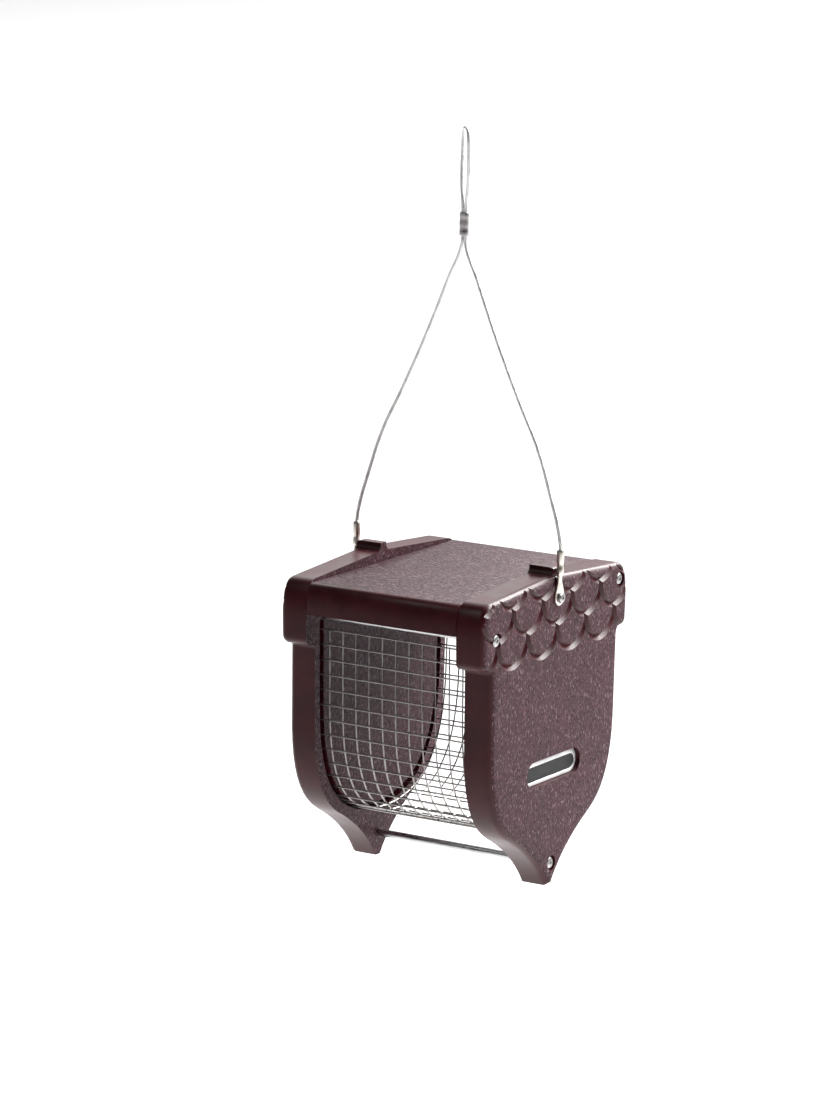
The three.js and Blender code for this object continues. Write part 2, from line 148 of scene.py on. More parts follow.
def pick(*pieces):
    """Select these pieces and nothing else."""
    bpy.ops.object.select_all(action="DESELECT")
    for piece in pieces:
        piece.select_set(True)
    bpy.context.view_layer.objects.active = pieces[0] if pieces else None


def edit(piece, kind="FACE", everything=False):
    """Go into edit mode on a piece, with all of it or nothing selected."""
    pick(piece)
    bpy.ops.object.mode_set(mode="EDIT")
    bpy.ops.mesh.select_mode(type=kind)
    bpy.ops.mesh.select_all(action="SELECT" if everything else "DESELECT")


def leave():
    bpy.ops.object.mode_set(mode="OBJECT")


def choose_faces(piece, wanted):
    """Select the faces for which wanted(centre, normal) is true."""
    mesh = bmesh.from_edit_mesh(piece.data)
    for face in mesh.faces:
        face.select_set(bool(wanted(face.calc_center_median(), face.normal)))
    mesh.select_flush_mode()
    bmesh.update_edit_mesh(piece.data)


def choose_points(piece, wanted):
    """Select the points for which wanted(place) is true."""
    mesh = bmesh.from_edit_mesh(piece.data)
    for vert in mesh.verts:
        vert.select_set(bool(wanted(vert.co)))
    mesh.select_flush_mode()
    bmesh.update_edit_mesh(piece.data)


def choose_edges(piece, wanted):
    """Select the edges for which wanted(one end, other end) is true."""
    mesh = bmesh.from_edit_mesh(piece.data)
    for edge in mesh.edges:
        edge.select_set(bool(wanted(edge.verts[0].co, edge.verts[1].co)))
    mesh.select_flush_mode()
    bmesh.update_edit_mesh(piece.data)


def settle(piece):
    """Put a piece's place, turn and size into its mesh."""
    pick(piece)
    bpy.ops.object.transform_apply(location=True, rotation=True, scale=True)
    return piece


def close_up(piece, distance=1e-6):
    """Merge doubled points and turn every face outwards."""
    edit(piece, "VERT", everything=True)
    bpy.ops.mesh.remove_doubles(threshold=distance)
    bpy.ops.mesh.normals_make_consistent(inside=False)
    leave()
    return piece


def modify(piece, kind, **settings):
    """Add a modifier, set it up and apply it."""
    pick(piece)
    bpy.ops.object.modifier_add(type=kind)
    modifier = piece.modifiers[-1]
    for name, value in settings.items():
        setattr(modifier, name, value)
    bpy.ops.object.modifier_apply(modifier=modifier.name)
    return piece


def cut(piece, *cutters):
    """Cut the cutters out of the piece in one go, and throw them away."""
    tools = bpy.data.collections.new("cutters")
    for cutter in cutters:
        tools.objects.link(cutter)
    modify(
        piece, "BOOLEAN", operation="DIFFERENCE", solver="EXACT",
        operand_type="COLLECTION", collection=tools,
    )
    for cutter in cutters:
        bpy.data.objects.remove(cutter)
    bpy.data.collections.remove(tools)
    return piece


def twin(piece, name, shift=(0, 0, 0), mirrored=False):
    """A copy with its own mesh, moved along or mirrored to the other side."""
    pick(piece)
    bpy.ops.object.duplicate(linked=False)
    copy = bpy.context.object
    copy.name = copy.data.name = name
    if mirrored:
        copy.scale = (-1, 1, 1)
    copy.location = shift
    settle(copy)
    return close_up(copy) if mirrored else copy


def named(name):
    """Name the piece that was just made."""
    piece = bpy.context.object
    piece.name = piece.data.name = name
    return piece


def joined(name, pieces):
    """Make one piece of several."""
    pick(*pieces)
    bpy.ops.object.join()
    return named(name)


def smooth(piece, degrees):
    """Shade a piece smooth, apart from edges sharper than this."""
    pick(piece)
    bpy.ops.object.shade_smooth_by_angle(angle=math.radians(degrees))
    return piece


def at(x, depth, height):
    """A point from metres across and millimetres deep and above the feet."""
    return Vector((x, depth * MM, FEET_Z + height * MM))


# ---- drawing and turning ---------------------------------------------------------------------

def drawn_line(name, start, strokes, x, resolution):
    """A Bezier line in the plane across the feeder, made into a row of edges."""
    bpy.ops.object.select_all(action="DESELECT")
    bpy.ops.curve.primitive_bezier_curve_add(location=(0, 0, 0))
    line = named(name)
    line.data.dimensions = "3D"
    line.data.resolution_u = resolution
    spline = line.data.splines[0]
    spline.bezier_points.add(len(strokes) - 1)
    ends = [start] + [stroke[-1] for stroke in strokes]
    before, after = [start], []
    for here, stroke in zip(ends, strokes):
        handles = stroke[:-1] or (here, stroke[-1])
        after.append(handles[0])
        before.append(handles[1])
    after.append(ends[-1])
    for point, end, left, right in zip(spline.bezier_points, ends, before, after):
        point.handle_left_type = point.handle_right_type = "FREE"
        point.co = at(x, *end)
        point.handle_left = at(x, *left)
        point.handle_right = at(x, *right)
    return line


def outline(name, start, strokes, x, thickness, resolution):
    """A closed drawn line, filled and pulled out along X into a board."""
    line = drawn_line(name, start, strokes, x, resolution)
    pick(line)
    bpy.ops.object.convert(target="MESH")
    board = bpy.context.object
    edit(board, "VERT", everything=True)
    bpy.ops.mesh.remove_doubles(threshold=1e-6)
    bpy.ops.mesh.dissolve_limited(angle_limit=math.radians(0.2))
    bpy.ops.mesh.select_all(action="SELECT")
    bpy.ops.mesh.edge_face_add()
    bpy.ops.mesh.extrude_region_move(TRANSFORM_OT_translate={"value": (thickness, 0, 0)})
    bpy.ops.mesh.select_all(action="SELECT")
    bpy.ops.mesh.normals_make_consistent(inside=False)
    leave()
    return board


def turned(name, profile):
    """A profile of (radius, height) in millimetres, spun round Z into a closed solid."""
    bpy.ops.object.select_all(action="DESELECT")
    bpy.ops.mesh.primitive_plane_add(size=1, location=(0, 0, 0))
    solid = named(name)
    edit(solid, "VERT", everything=True)
    bpy.ops.mesh.merge(type="CENTER")
    mesh = bmesh.from_edit_mesh(solid.data)
    mesh.verts.ensure_lookup_table()
    mesh.verts[0].co = (profile[0][0] * MM, 0, profile[0][1] * MM)
    bmesh.update_edit_mesh(solid.data)
    for (r0, z0), (r1, z1) in zip(profile, profile[1:]):
        step = ((r1 - r0) * MM, 0, (z1 - z0) * MM)
        bpy.ops.mesh.extrude_region_move(TRANSFORM_OT_translate={"value": step})
    bpy.ops.mesh.select_all(action="SELECT")
    bpy.ops.mesh.spin(
        steps=40, dupli=False, angle=math.tau, use_auto_merge=True, center=(0, 0, 0), axis=(0, 0, 1)
    )
    leave()
    return close_up(solid)


def round_bar(name, radius, start, end, sides, chamfer=0.0):
    """A bar along X, with its ends broken."""
    bpy.ops.object.select_all(action="DESELECT")
    bpy.ops.mesh.primitive_cylinder_add(
        vertices=sides,
        radius=radius,
        depth=(end - start).length,
        location=(start + end) / 2,
        rotation=(0, math.pi / 2, 0),
    )
    bar = settle(named(name))
    if chamfer:
        edit(bar, "EDGE")
        choose_edges(bar, lambda a, b: abs(a.x - b.x) < 1e-6)
        bpy.ops.mesh.bevel(offset=chamfer, segments=2, affect="EDGES")
        leave()
    return bar


# ---- finishes --------------------------------------------------------------------------------

class Nodes:
    """A material's node tree, with short ways to add and link nodes."""

    def __init__(self, name):
        self.material = bpy.data.materials.new(name)
        self.material.use_nodes = True
        self.tree = self.material.node_tree
        self.shader = self.tree.nodes["Principled BSDF"]

    def add(self, kind, **settings):
        node = self.tree.nodes.new(kind)
        for key, value in settings.items():
            setattr(node, key, value)
        return node

    def link(self, out, into):
        self.tree.links.new(out, into)

    def place(self, scale=(1, 1, 1)):
        """Object coordinates, stretched by this much each way."""
        coordinates = self.add("ShaderNodeTexCoord")
        mapping = self.add("ShaderNodeMapping")
        mapping.inputs["Scale"].default_value = scale
        self.link(coordinates.outputs["Object"], mapping.inputs["Vector"])
        return mapping.outputs["Vector"]

    def noise(self, vector, scale, detail=2.0, roughness=0.5):
        node = self.add("ShaderNodeTexNoise")
        node.inputs["Scale"].default_value = scale
        node.inputs["Detail"].default_value = detail
        node.inputs["Roughness"].default_value = roughness
        self.link(vector, node.inputs["Vector"])
        return node.outputs["Fac"]

    def ramp(self, factor, *stops):
        """A colour ramp with (position, colour) stops."""
        node = self.add("ShaderNodeValToRGB")
        band = node.color_ramp
        while len(band.elements) < len(stops):
            band.elements.new(0.5)
        for element, (position, colour) in zip(band.elements, stops):
            element.position = position
            element.color = (*colour, 1)
        self.link(factor, node.inputs["Fac"])
        return node.outputs["Color"]

    def between(self, factor, low, high, start=0.0, end=1.0):
        """A number that goes from low to high as the factor goes from start to end."""
        node = self.add("ShaderNodeMapRange")
        node.inputs["From Min"].default_value = start
        node.inputs["From Max"].default_value = end
        node.inputs["To Min"].default_value = low
        node.inputs["To Max"].default_value = high
        self.link(factor, node.inputs["Value"])
        return node.outputs["Result"]

    def blend(self, factor, a, b, mode="MIX"):
        node = self.add("ShaderNodeMix", data_type="RGBA", blend_type=mode)
        for socket, value in zip((node.inputs[0], node.inputs[6], node.inputs[7]), (factor, a, b)):
            if isinstance(value, (int, float)):
                socket.default_value = value
            elif isinstance(value, tuple):
                socket.default_value = (*value, 1)
            else:
                self.link(value, socket)
        return node.outputs[2]

    def bumps(self, *heights):
        """Bump nodes in a row, each from (height, strength, distance in metres)."""
        normal = None
        for height, strength, distance in heights:
            node = self.add("ShaderNodeBump")
            node.inputs["Strength"].default_value = strength
            node.inputs["Distance"].default_value = distance
            self.link(height, node.inputs["Height"])
            if normal:
                self.link(normal, node.inputs["Normal"])
            normal = node.outputs["Normal"]
        self.link(normal, self.shader.inputs["Normal"])

    def set(self, **values):
        for key, value in values.items():
            self.shader.inputs[key.replace("_", " ")].default_value = value


def finish_for(name, build):
    """A finish by name, built the first time it is asked for."""
    return bpy.data.materials.get(name) or build(name)


def scaled(colour, by):
    return tuple(min(1.0, c * by) for c in colour)


def pressed_board(name, along):
    """The board's skin: brown recycled plastic with fine pale and dark flecks drawn out one way."""
    finish = Nodes(name)
    brown = tuple(bpy.context.scene.feeder_finishes.board_colour)
    drawn = {"X": (0.35, 1, 1), "Z": (1, 1, 0.42)}[along]
    longer = {"X": (0.1, 1, 1), "Z": (1, 1, 0.12)}[along]
    place = finish.place(drawn)
    fleck = finish.noise(place, 1500, 3, 0.6)
    speck = finish.noise(place, 900, 2, 0.5)
    streak = finish.noise(finish.place(longer), 560, 4, 0.6)
    cloud = finish.noise(finish.place(), 26, 3)
    dark, bright = scaled(brown, 0.25), scaled(brown, 2.2)
    ground = finish.ramp(fleck, (0.38, dark), (0.50, brown), (0.62, bright))
    streaked = finish.ramp(streak, (0.36, (0.62, 0.58, 0.60)), (0.52, (1, 1, 1)))
    colour = finish.blend(0.8, ground, streaked, "MULTIPLY")
    pale = finish.between(speck, 0, 0.75, 0.59, 0.68)
    colour = finish.blend(pale, colour, (0.22, 0.155, 0.175))
    clouds = finish.ramp(cloud, (0.35, (0.84, 0.80, 0.82)), (0.65, (1, 1, 1)))
    colour = finish.blend(1.0, colour, clouds, "MULTIPLY")
    finish.link(colour, finish.shader.inputs["Base Color"])
    finish.link(finish.between(fleck, 0.66, 0.46, 0.38, 0.62), finish.shader.inputs["Roughness"])
    finish.set(IOR=1.33)
    finish.bumps((fleck, 0.75, 0.0006), (streak, 0.4, 0.0005))
    return finish.material


def cut_board(name):
    """The board where a cutter has been: smooth dark red-brown with a soft shine."""
    finish = Nodes(name)
    brown = tuple(bpy.context.scene.feeder_finishes.edge_colour)
    cloud = finish.noise(finish.place(), 60, 3, 0.55)
    fine = finish.noise(finish.place((1, 1, 0.35)), 1300, 2)
    dark, bright = scaled(brown, 0.72), scaled(brown, 1.3)
    colour = finish.ramp(cloud, (0.30, dark), (0.55, brown), (0.75, bright))
    finish.link(colour, finish.shader.inputs["Base Color"])
    finish.link(finish.between(cloud, 0.30, 0.40, 0.3, 0.7), finish.shader.inputs["Roughness"])
    finish.set(IOR=1.34)
    finish.bumps((fine, 0.12, 0.0002), (cloud, 0.15, 0.0010))
    return finish.material


def drawn_metal(name, colour, roughness, along="X", scratch=0.12, coat=0.0):
    """A metal with fine lines along its length, a little cloudiness and worn specks."""
    finish = Nodes(name)
    stretch = {"X": (0.05, 1, 1), "Z": (1, 1, 0.05), "ROUND": (1, 1, 1)}[along]
    lines = finish.noise(finish.place(stretch), 2200, 3, 0.6)
    cloud = finish.noise(finish.place(), 160, 3)
    dark, bright = scaled(colour, 0.80), scaled(colour, 1.08)
    tone = finish.ramp(cloud, (0.3, dark), (0.55, colour), (0.8, bright))
    worn = finish.ramp(lines, (0.34, (0.74, 0.74, 0.75)), (0.52, (1, 1, 1)))
    finish.link(finish.blend(0.6, tone, worn, "MULTIPLY"), finish.shader.inputs["Base Color"])
    low, high = max(0.05, roughness - 0.08), roughness + 0.12
    finish.link(finish.between(cloud, low, high, 0.3, 0.7), finish.shader.inputs["Roughness"])
    finish.set(Metallic=1.0)
    if coat:
        finish.set(Coat_Weight=coat, Coat_Roughness=0.08, Coat_IOR=1.5)
    finish.bumps((lines, scratch, 0.0001))
    return finish.material


def plate_finish(name, colour, roughness, metallic):
    """The name plate's enamel or bare rim, faintly pitted."""
    finish = Nodes(name)
    pits = finish.noise(finish.place(), 1500, 2)
    cloud = finish.noise(finish.place((1, 0.3, 1)), 240, 3)
    tone = finish.ramp(cloud, (0.35, scaled(colour, 0.75)), (0.65, scaled(colour, 1.1)))
    finish.link(tone, finish.shader.inputs["Base Color"])
    sheen = finish.between(cloud, roughness, roughness + 0.15, 0.3, 0.7)
    finish.link(sheen, finish.shader.inputs["Roughness"])
    finish.set(Metallic=metallic)
    finish.bumps((pits, 0.15, 0.0001))
    return finish.material


def stage_finish(name, shade):
    """Plain pale paper with the faintest tooth."""
    finish = Nodes(name)
    tooth = finish.noise(finish.place(), 30, 2)
    tone = finish.ramp(tooth, (0.3, scaled(shade, 0.995)), (0.7, shade))
    finish.link(tone, finish.shader.inputs["Base Color"])
    finish.set(Roughness=0.9, Specular_IOR_Level=0.1)
    return finish.material


def skin(piece, *finishes):
    """Give a piece its finishes, the first for all of it."""
    piece.data.materials.clear()
    for finish in finishes:
        piece.data.materials.append(finish)
    return piece


def skin_where(piece, slot, wanted):
    """Put another of the piece's finishes on the faces where wanted(centre, normal) is true."""
    for face in piece.data.polygons:
        if wanted(face.center, face.normal):
            face.material_index = slot


def fit(piece, body, slot, *nodes):
    """Hang a finished piece on its body, in the place of its CAD solids."""
    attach(piece, body)
    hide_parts(*nodes)
    return piece


# ---- the side boards -------------------------------------------------------------------------

def blank_board():
    """Half an acorn with its outer edge rounded over in steps, cut at the middle and mirrored."""
    sizes = bpy.context.scene.feeder_sizes
    radius, steps = sizes.round_over, 7
    board = outline("board", ACORN_START, ACORN_HALF, INNER_X, OUTER_X - radius - INNER_X, 10)
    edit(board)
    choose_faces(board, lambda centre, normal: normal.x > 0.9)
    for step in range(steps):
        low, high = (math.radians(90 * s / steps) for s in (step, step + 1))
        bpy.ops.mesh.inset(
            thickness=radius * (math.cos(low) - math.cos(high)),
            depth=radius * (math.sin(high) - math.sin(low)),
            use_even_offset=True,
        )
    bpy.ops.mesh.select_all(action="SELECT")
    bpy.ops.mesh.bisect(
        plane_co=(0, 0, 0), plane_no=(0, 1, 0), clear_inner=True, threshold=1e-7
    )
    leave()
    modify(board, "MIRROR", use_axis=(False, True, False), use_clip=True, merge_threshold=1e-5)
    close_up(board, 2e-6)
    modify(board, "BOOLEAN", operation="UNION", solver="EXACT", object=stem())
    bpy.data.objects.remove(bpy.data.objects["stem"])
    return board


def stem():
    """The acorn's short stem on the ridge, with its outer top corner rounded."""
    block = outline("stem", STEM_START, STEM, INNER_X, STEM_OUTER_X - INNER_X, 8)
    block.name = "stem"
    edit(block, "EDGE")
    end, top = STEM_OUTER_X - 1e-5, at(0, 0, STEM_TOP).z - 1e-5
    choose_edges(block, lambda a, b: min(a.x, b.x) > end and min(a.z, b.z) > top)
    bpy.ops.mesh.bevel(offset=STEM_ROUND, segments=5, affect="EDGES")
    leave()
    return block


def mesh_groove():
    """The narrow U that the wire mesh slides down into, as a cutter."""
    sizes = bpy.context.scene.feeder_sizes
    line = drawn_line("mesh_groove", MESH_START, MESH_LINE, INNER_X - 1 * MM, 16)
    pick(line)
    bpy.ops.object.convert(target="MESH")
    groove = bpy.context.object
    edit(groove, "VERT", everything=True)
    bpy.ops.mesh.remove_doubles(threshold=1e-6)
    bpy.ops.mesh.select_all(action="DESELECT")
    choose_points(groove, lambda place: place.z > at(0, 0, RIM_HEIGHT).z)
    bpy.ops.transform.translate(value=(0, 0, RIM_LIFT))
    bpy.ops.mesh.select_all(action="SELECT")
    depth = sizes.groove_depth + 1 * MM
    bpy.ops.mesh.extrude_region_move(TRANSFORM_OT_translate={"value": (depth, 0, 0)})
    leave()
    modify(groove, "SOLIDIFY", thickness=sizes.groove_width, offset=0)
    return close_up(groove)


def bored(place, radius, from_x, to_x):
    """A round cutter through the board at a place on its face."""
    return round_bar("bore", radius, at(from_x, *place), at(to_x, *place), 40)


def carved_scale(depth, lowest, half_width, deep):
    """One half-round V groove, as a cutter swept by a pointed bit."""
    bpy.ops.object.select_all(action="DESELECT")
    over = math.radians(4)
    centre = at(OUTER_X, depth, lowest) + Vector((0, 0, half_width))
    bpy.ops.mesh.primitive_circle_add(
        vertices=4, radius=deep, fill_type="NGON", location=centre - Vector((0, half_width, 0))
    )
    groove = settle(named("groove"))
    edit(groove, everything=True)
    bpy.ops.transform.rotate(value=over, orient_axis="X", center_override=centre)
    bpy.ops.mesh.spin(
        steps=30, dupli=False, angle=math.pi + 2 * over, center=centre, axis=(-1, 0, 0)
    )
    leave()
    return close_up(groove)


def carved_scales():
    """Three rows of half-round grooves across the cap, like an acorn's scales, as cutters."""
    sizes = bpy.context.scene.feeder_sizes
    pattern = carved_scale(0, SCALE_ROWS[0][0], sizes.scale_width / 2, sizes.vee_depth)
    grooves = []
    for lowest, columns in SCALE_ROWS:
        for column in range(columns):
            across = (column - (columns - 1) / 2) * sizes.scale_width
            rise = (lowest - SCALE_ROWS[0][0]) * MM
            grooves.append(twin(pattern, "groove", (0, across, rise)))
    bpy.data.objects.remove(pattern)
    return grooves


def board_cutters():
    """All that is cut into both side boards: the mesh groove, the scales and the screws' holes."""
    cutters = [mesh_groove(), *carved_scales()]
    for place, hole in ((FRONT_ROD, ROD_HOLE), (PERCH, ROD_HOLE), (LID_PIVOT, LID_HOLE)):
        seat = OUTER_X - COUNTERBORE_DEPTH
        cutters.append(bored(place, COUNTERBORE_RADIUS, seat, OUTER_X + 2 * MM))
        cutters.append(bored(place, hole, INNER_X - 2 * MM, seat + MM))
    return cutters


def plate_slot(clear=0.0, name="plate_slot"):
    """The round-ended pocket for the name plate, as a cutter, or the plate's own blank."""
    sizes = bpy.context.scene.feeder_sizes
    half = sizes.plate_height / 2
    reach = sizes.plate_length / 2 - half
    bpy.ops.object.select_all(action="DESELECT")
    bpy.ops.mesh.primitive_circle_add(
        vertices=64, radius=half - clear, fill_type="NGON", rotation=(0, math.pi / 2, 0),
        location=at(OUTER_X - sizes.plate_depth, *PLATE_MIDDLE),
    )
    slot = settle(named(name))
    for vert in slot.data.vertices:
        if vert.co.y > 1e-6:
            vert.co.y += reach
        elif vert.co.y < -1e-6:
            vert.co.y -= reach
    edit(slot, everything=True)
    bpy.ops.mesh.normals_make_consistent(inside=False)
    leave()
    return slot


def pulled_out(piece, distance):
    """Pull a flat piece out along X into a closed one."""
    edit(piece, everything=True)
    bpy.ops.mesh.extrude_region_move(TRANSFORM_OT_translate={"value": (distance, 0, 0)})
    bpy.ops.mesh.select_all(action="SELECT")
    bpy.ops.mesh.normals_make_consistent(inside=False)
    leave()
    return piece


def is_skin(centre, normal):
    """Where a side board still has its pressed skin: flat on its outer or inner face."""
    outer = abs(abs(centre.x) - OUTER_X) < 0.9 * MM and abs(normal.x) > 0.84
    inner = abs(abs(centre.x) - INNER_X) < 0.05 * MM and abs(normal.x) > 0.99
    return outer or inner


class FEEDER_OT_side_boards(bpy.types.Operator):
    """Cut, round over, groove and carve the two acorn side boards"""

    bl_idname = "feeder.side_boards"
    bl_label = "Side Boards"

    def execute(self, context):
        right = blank_board()
        plain = twin(right, "plain_board")
        cut(right, *board_cutters(), pulled_out(plate_slot(), 8 * MM))
        right.name = right.data.name = "side_board_right"
        left = twin(cut(plain, *board_cutters()), "side_board_left", mirrored=True)
        bpy.data.objects.remove(plain)
        finishes = (
            finish_for("cut_board", cut_board),
            finish_for("pressed_board_upright", lambda name: pressed_board(name, "Z")),
        )
        for side, piece in (("left", left), ("right", right)):
            skin(piece, *finishes)
            skin_where(piece, 1, is_skin)
            smooth(piece, 26)
            fit(piece, "housing", "side_board", f"side_panel_{side}")
        return {"FINISHED"}


class FEEDER_OT_name_plate(bpy.types.Operator):
    """Make the small plain plate with a pale rim that lies in the right board's pocket"""

    bl_idname = "feeder.name_plate"
    bl_label = "Name Plate"

    def execute(self, context):
        sizes = context.scene.feeder_sizes
        plate = pulled_out(plate_slot(CLEAR, "name_plate_visual"), sizes.plate_thickness)
        face_x = OUTER_X - sizes.plate_depth + sizes.plate_thickness
        edit(plate)
        choose_faces(plate, lambda centre, normal: normal.x > 0.9)
        bpy.ops.mesh.inset(thickness=0.25 * MM, depth=0, use_even_offset=True)
        bpy.ops.transform.translate(value=(0.12 * MM, 0, 0))
        bpy.ops.mesh.inset(thickness=1.1 * MM, depth=0, use_even_offset=True)
        bpy.ops.transform.resize(value=(1, 1, 0.78))
        bpy.ops.transform.translate(value=(0, 0, -0.8 * MM))
        bpy.ops.mesh.inset(thickness=0.25 * MM, depth=-0.35 * MM, use_even_offset=True)
        leave()
        pale, dark = (0.88, 0.87, 0.88), (0.008, 0.008, 0.009)
        skin(
            plate,
            finish_for("plate_rim", lambda name: plate_finish(name, pale, 0.35, 0.2)),
            finish_for("plate_field", lambda name: plate_finish(name, dark, 0.6, 0.0)),
        )
        field_x = face_x - 0.1 * MM
        skin_where(plate, 1, lambda centre, normal: normal.x > 0.9 and centre.x < field_x)
        fit(smooth(plate, 30), "housing", "name_plate", "name_plate")
        return {"FINISHED"}


# ---- the lid, the rods and the mesh ----------------------------------------------------------

class FEEDER_OT_lid(bpy.types.Operator):
    """Make the lid board with its rounded front and back edges"""

    bl_idname = "feeder.lid"
    bl_label = "Lid Board"

    def execute(self, context):
        lid = outline("lid_board", LID_SECTION_START, LID_SECTION, -LID_HALF, 2 * LID_HALF, 14)
        edit(lid, "EDGE")
        choose_edges(lid, lambda a, b: abs(a.x - b.x) < 1e-6)
        bpy.ops.mesh.bevel(offset=0.5 * MM, segments=2, affect="EDGES")
        leave()
        for side in (-1, 1):
            start, end = sorted((side * (LID_HALF - 24 * MM), side * (LID_HALF + 2 * MM)))
            cut(lid, bored(LID_PIVOT, 2.0 * MM, start, end))
        skin(
            lid,
            finish_for("cut_board", cut_board),
            finish_for("pressed_board_across", lambda name: pressed_board(name, "X")),
        )
        skin_where(lid, 1, lambda centre, normal: abs(normal.z) > 0.99)
        fit(smooth(lid, 30), "lid", "roof_board", "roof_lid")
        return {"FINISHED"}


class FEEDER_OT_rods(bpy.types.Operator):
    """Make the tie rod under the lid and the perch rod between the feet"""

    bl_idname = "feeder.rods"
    bl_label = "Rods"

    def execute(self, context):
        metal = finish_for("drawn_rod", lambda name: drawn_metal(name, (0.60, 0.60, 0.60), 0.30))
        for name, node, place in (
            ("tie_rod", "front_tie_rod", FRONT_ROD),
            ("perch_bar", "perch_rod", PERCH),
        ):
            low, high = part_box(node)
            radius = (high[2] - low[2]) / 2
            rod = round_bar(name, radius, at(low[0], *place), at(high[0], *place), 40, 0.4 * MM)
            for end, inward in ((low[0], 1), (high[0], -1)):
                start, stop = sorted((end - inward * MM, end + inward * 17 * MM))
                cut(rod, bored(place, 1.7 * MM, start, stop))
            fit(smooth(skin(rod, metal), 35), "housing", "rod", node)
        return {"FINISHED"}


def mesh_points():
    """Points down the U of the mesh, and the length to each."""
    line = drawn_line("mesh_line", MESH_START, MESH_LINE, 0.0, 40)
    pick(line)
    bpy.ops.object.convert(target="MESH")
    edges = bpy.context.object
    points = [vert.co.copy() for vert in edges.data.vertices]
    bpy.data.objects.remove(edges)
    lengths = [0.0]
    for a, b in zip(points, points[1:]):
        lengths.append(lengths[-1] + (b - a).length)
    return points, lengths


def stations(points, lengths, spacing, first):
    """Points a set spacing apart along the line, with its direction at each."""
    found, wanted, i = [], first, 0
    while wanted < lengths[-1]:
        while lengths[i + 1] < wanted:
            i += 1
        share = (wanted - lengths[i]) / (lengths[i + 1] - lengths[i])
        direction = (points[i + 1] - points[i]).normalized()
        found.append((points[i].lerp(points[i + 1], share), direction))
        wanted += spacing
    return found


def upright_wire(radius):
    """One wire that runs down the front, under and up the back."""
    wire = drawn_line("wire", MESH_START, MESH_LINE, 0.0, 18)
    wire.data.bevel_depth = radius
    wire.data.bevel_resolution = 1
    wire.data.use_fill_caps = True
    pick(wire)
    bpy.ops.object.convert(target="MESH")
    return close_up(bpy.context.object)


class FEEDER_OT_wire_mesh(bpy.types.Operator):
    """Weld the square wire mesh that holds the food"""

    bl_idname = "feeder.wire_mesh"
    bl_label = "Wire Mesh"

    def execute(self, context):
        sizes = context.scene.feeder_sizes
        radius, pitch = sizes.wire_diameter / 2, sizes.mesh_pitch
        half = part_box("mesh_basket")[1][0]
        first = upright_wire(radius)
        wires = [first]
        for step in range(1, 1 + int(half / pitch)):
            for side in (-1, 1):
                wires.append(twin(first, "wire", (side * step * pitch, 0, 0)))
        points, lengths = mesh_points()
        for place, direction in stations(points, lengths, pitch, radius):
            outwards = Vector((0, direction.z, -direction.y)) * radius * 1.5
            start = place + outwards
            start.x = -half
            end = Vector((half, start.y, start.z))
            wires.append(round_bar("wire", radius, start, end, 8))
        mesh = joined("wire_mesh", wires)
        grey = (0.34, 0.32, 0.31)
        metal = finish_for("galvanised_wire", lambda name: drawn_metal(name, grey, 0.32, "ROUND"))
        fit(smooth(skin(mesh, metal), 60), "housing", "wire_mesh", "mesh_basket")
        return {"FINISHED"}


# ---- the fixings -----------------------------------------------------------------------------

def cross_recess(size, deep):
    """A tapered cross, as a cutter pointing down from Z = 0."""
    arms = []
    for turn in (0, math.pi / 2):
        bpy.ops.object.select_all(action="DESELECT")
        turned_by = (0, 0, turn + math.radians(20))
        bpy.ops.mesh.primitive_cube_add(size=1, location=(0, 0, 0), rotation=turned_by)
        arm = named("arm")
        arm.scale = (size, size * 0.24, 2 * deep)
        settle(arm)
        edit(arm)
        choose_faces(arm, lambda centre, normal: normal.z < -0.9)
        bpy.ops.transform.resize(value=(0.45, 0.45, 1))
        leave()
        arms.append(arm)
    return arms


def pan_screw(name, head, height, shank, length):
    """A pan-headed screw along Z, its seat at Z = 0 and its shank below, in millimetres."""
    profile = [
        (0, -length), (shank * 0.35, -length), (shank * 0.92, -length + 2.2 * shank), (shank, -1.2),
        (shank, 0), (head, 0), (head, height * 0.35), (head * 0.94, height * 0.66),
        (head * 0.78, height * 0.88), (head * 0.45, height * 0.985), (0, height),
    ]
    screw = turned(name, profile)
    for arm in cross_recess(head * 1.05 * MM, height * 0.62 * MM):
        arm.location.z = height * MM
        settle(arm)
        cut(screw, arm)
    return screw


def driven(screw, name, side, seat_x, place):
    """A copy of the screw turned to lie along X and seated on its side of the feeder."""
    copy = twin(screw, name)
    turn = Matrix.Rotation(side * math.pi / 2, 4, "Y")
    copy.matrix_world = Matrix.Translation(at(side * seat_x, *place)) @ turn
    return settle(copy)


class FEEDER_OT_screws(bpy.types.Operator):
    """Turn the pan-headed screws and drive them into rods, lid and boards"""

    bl_idname = "feeder.screws"
    bl_label = "Screws"

    def execute(self, context):
        grey = (0.40, 0.39, 0.39)
        metal = finish_for("bright_screw", lambda name: drawn_metal(name, grey, 0.26, "ROUND"))
        for kind, shape, seat, place, body in SCREWS:
            pattern = pan_screw(kind, *shape)
            for side, word in ((-1, "left"), (1, "right")):
                screw = driven(pattern, f"{kind}_{word}_turned", side, seat, place)
                fit(smooth(skin(screw, metal), 32), body, "screw", f"{kind}_{word}")
            bpy.data.objects.remove(pattern)
        return {"FINISHED"}


